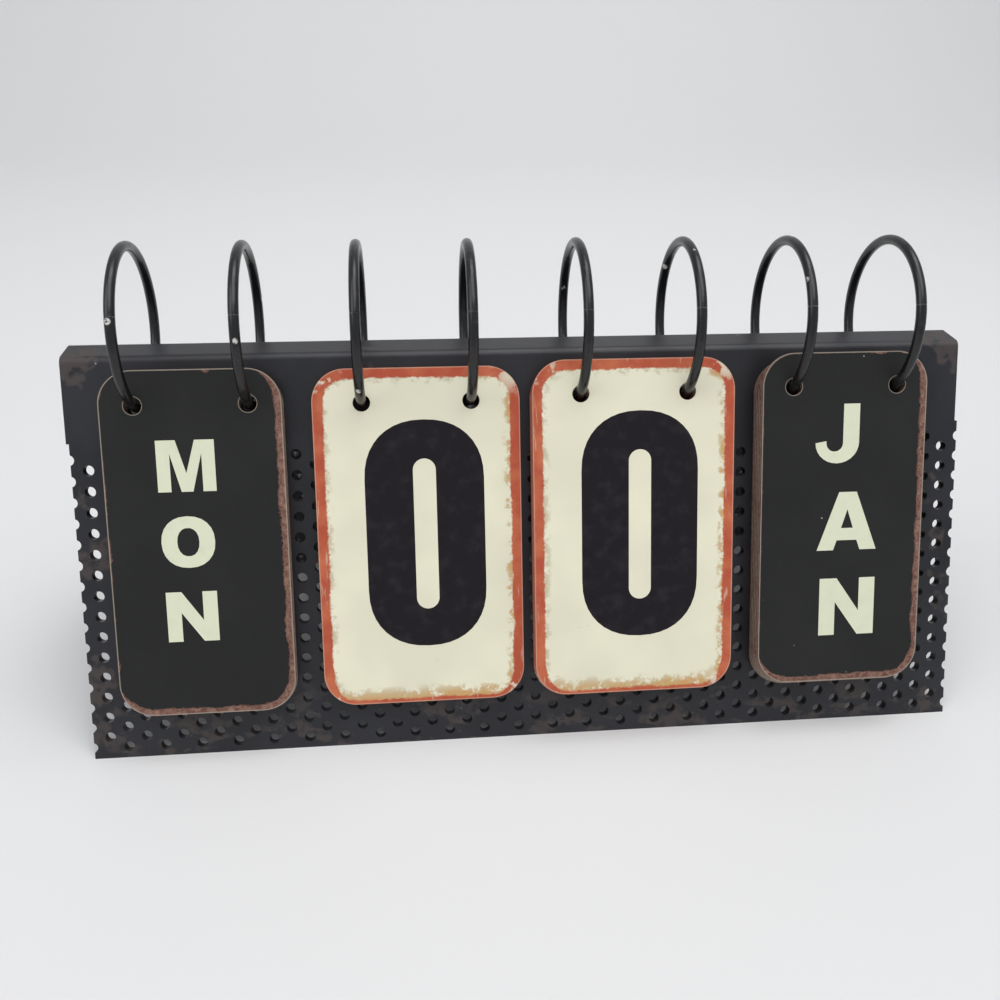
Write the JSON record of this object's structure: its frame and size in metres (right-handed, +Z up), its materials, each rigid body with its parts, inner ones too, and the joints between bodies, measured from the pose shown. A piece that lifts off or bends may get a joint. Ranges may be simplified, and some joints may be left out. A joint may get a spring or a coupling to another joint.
{
  "type": "perpetual desk calendar",
  "caption": "Tent stand of perforated sheet metal with wire rings along its top that carry decks of flip cards for weekday, two date digits and month.",
  "frame": {"origin": "on the table, at the middle of the part's footprint", "axes": "+X along the stand to the right, +Y to the rear, +Z up; the cards face -Y"},
  "size_m": [0.2748, 0.1082, 0.144],
  "materials": {
    "stand_paint": "satin",
    "ring_paint": "satin",
    "word_card_paint": "satin",
    "digit_card_paint": "satin"
  },
  "bodies": {
    "stand": {"top_channel": "stand_paint", "front_leg": "stand_paint", "rear_leg": "stand_paint"},
    "day_ring_left": {"hanging_ring_1": "ring_paint"},
    "day_ring_right": {"hanging_ring_2": "ring_paint"},
    "day_front_card": {"day_card_1": "word_card_paint"},
    "day_waiting_card_2": {"day_card_2": "word_card_paint"},
    "day_waiting_card_3": {"day_card_3": "word_card_paint"},
    "day_waiting_card_4": {"day_card_4": "word_card_paint"},
    "tens_ring_left": {"hanging_ring_3": "ring_paint"},
    "tens_ring_right": {"hanging_ring_4": "ring_paint"},
    "tens_front_card": {"tens_card_1": "digit_card_paint"},
    "tens_waiting_card_2": {"tens_card_2": "digit_card_paint"},
    "units_ring_left": {"hanging_ring_5": "ring_paint"},
    "units_ring_right": {"hanging_ring_6": "ring_paint"},
    "units_front_card": {"units_card_1": "digit_card_paint"},
    "units_waiting_card_2": {"units_card_2": "digit_card_paint"},
    "units_waiting_card_3": {"units_card_3": "digit_card_paint"},
    "units_waiting_card_4": {"units_card_4": "digit_card_paint"},
    "units_waiting_card_5": {"units_card_5": "digit_card_paint"},
    "month_ring_left": {"hanging_ring_7": "ring_paint"},
    "month_ring_right": {"hanging_ring_8": "ring_paint"},
    "month_front_card": {"month_card_1": "word_card_paint"},
    "month_waiting_card_2": {"month_card_2": "word_card_paint"},
    "month_waiting_card_3": {"month_card_3": "word_card_paint"},
    "month_waiting_card_4": {"month_card_4": "word_card_paint"},
    "month_waiting_card_5": {"month_card_5": "word_card_paint"},
    "month_waiting_card_6": {"month_card_6": "word_card_paint"}
  },
  "joints": [
    {"name": "day_turn", "type": "hinge", "parent": "stand", "child": "day_ring_left", "pos_m": [-0.11578, 0, 0.1192], "axis": [-1, 0, 0], "range_deg": [0, 284.12]},
    {"name": "day_turn_right", "type": "hinge", "parent": "stand", "child": "day_ring_right", "pos_m": [-0.08313, 0, 0.1192], "axis": [-1, 0, 0], "range_deg": [0, 284.12]},
    {"name": "day_card_swing", "type": "hinge", "parent": "day_ring_left", "child": "day_front_card", "pos_m": [-0.09945, -0.01572, 0.102], "axis": [-1, 0, 0], "range_deg": [0, 28.01]},
    {"name": "day_card_2_play", "type": "slide", "parent": "stand", "child": "day_waiting_card_2", "axis": [1, 0, 0], "range_m": [-0.0006, 0.0006]},
    {"name": "day_card_3_play", "type": "slide", "parent": "stand", "child": "day_waiting_card_3", "axis": [1, 0, 0], "range_m": [-0.0006, 0.0006]},
    {"name": "day_card_4_play", "type": "slide", "parent": "stand", "child": "day_waiting_card_4", "axis": [1, 0, 0], "range_m": [-0.0006, 0.0006]},
    {"name": "tens_turn", "type": "hinge", "parent": "stand", "child": "tens_ring_left", "pos_m": [-0.05047, 0, 0.1192], "axis": [-1, 0, 0], "range_deg": [0, 289.98]},
    {"name": "tens_turn_right", "type": "hinge", "parent": "stand", "child": "tens_ring_right", "pos_m": [-0.01783, 0, 0.1192], "axis": [-1, 0, 0], "range_deg": [0, 289.98]},
    {"name": "tens_card_swing", "type": "hinge", "parent": "tens_ring_left", "child": "tens_front_card", "pos_m": [-0.03415, -0.01345, 0.10017], "axis": [-1, 0, 0], "range_deg": [0, 20.8]},
    {"name": "tens_card_2_play", "type": "slide", "parent": "stand", "child": "tens_waiting_card_2", "axis": [1, 0, 0], "range_m": [-0.0006, 0.0006]},
    {"name": "units_turn", "type": "hinge", "parent": "stand", "child": "units_ring_left", "pos_m": [0.01482, 0, 0.1192], "axis": [-1, 0, 0], "range_deg": [0, 280.42]},
    {"name": "units_turn_right", "type": "hinge", "parent": "stand", "child": "units_ring_right", "pos_m": [0.04748, 0, 0.1192], "axis": [-1, 0, 0], "range_deg": [0, 280.42]},
    {"name": "units_card_swing", "type": "hinge", "parent": "units_ring_left", "child": "units_front_card", "pos_m": [0.03115, -0.01679, 0.10305], "axis": [-1, 0, 0], "range_deg": [0, 31.68]},
    {"name": "units_card_2_play", "type": "slide", "parent": "stand", "child": "units_waiting_card_2", "axis": [1, 0, 0], "range_m": [-0.0006, 0.0006]},
    {"name": "units_card_3_play", "type": "slide", "parent": "stand", "child": "units_waiting_card_3", "axis": [1, 0, 0], "range_m": [-0.0006, 0.0006]},
    {"name": "units_card_4_play", "type": "slide", "parent": "stand", "child": "units_waiting_card_4", "axis": [1, 0, 0], "range_m": [-0.0006, 0.0006]},
    {"name": "units_card_5_play", "type": "slide", "parent": "stand", "child": "units_waiting_card_5", "axis": [1, 0, 0], "range_m": [-0.0006, 0.0006]},
    {"name": "month_turn", "type": "hinge", "parent": "stand", "child": "month_ring_left", "pos_m": [0.08013, 0, 0.1192], "axis": [-1, 0, 0], "range_deg": [0, 276.62]},
    {"name": "month_turn_right", "type": "hinge", "parent": "stand", "child": "month_ring_right", "pos_m": [0.11278, 0, 0.1192], "axis": [-1, 0, 0], "range_deg": [0, 276.62]},
    {"name": "month_card_swing", "type": "hinge", "parent": "month_ring_left", "child": "month_front_card", "pos_m": [0.09645, -0.01783, 0.10419], "axis": [-1, 0, 0], "range_deg": [0, 35.45]},
    {"name": "month_card_2_play", "type": "slide", "parent": "stand", "child": "month_waiting_card_2", "axis": [1, 0, 0], "range_m": [-0.0006, 0.0006]},
    {"name": "month_card_3_play", "type": "slide", "parent": "stand", "child": "month_waiting_card_3", "axis": [1, 0, 0], "range_m": [-0.0006, 0.0006]},
    {"name": "month_card_4_play", "type": "slide", "parent": "stand", "child": "month_waiting_card_4", "axis": [1, 0, 0], "range_m": [-0.0006, 0.0006]},
    {"name": "month_card_5_play", "type": "slide", "parent": "stand", "child": "month_waiting_card_5", "axis": [1, 0, 0], "range_m": [-0.0006, 0.0006]},
    {"name": "month_card_6_play", "type": "slide", "parent": "stand", "child": "month_waiting_card_6", "axis": [1, 0, 0], "range_m": [-0.0006, 0.0006]}
  ],
  "couplings": [
    {"joint": "day_turn_right", "follows": "day_turn", "ratio": 1},
    {"joint": "day_card_swing", "follows": "day_turn", "ratio": 0.098537},
    {"joint": "tens_turn_right", "follows": "tens_turn", "ratio": 1},
    {"joint": "tens_card_swing", "follows": "tens_turn", "ratio": 0.071687},
    {"joint": "units_turn_right", "follows": "units_turn", "ratio": 1},
    {"joint": "units_card_swing", "follows": "units_turn", "ratio": 0.11292},
    {"joint": "month_turn_right", "follows": "month_turn", "ratio": 1},
    {"joint": "month_card_swing", "follows": "month_turn", "ratio": 0.12812}
  ]
}
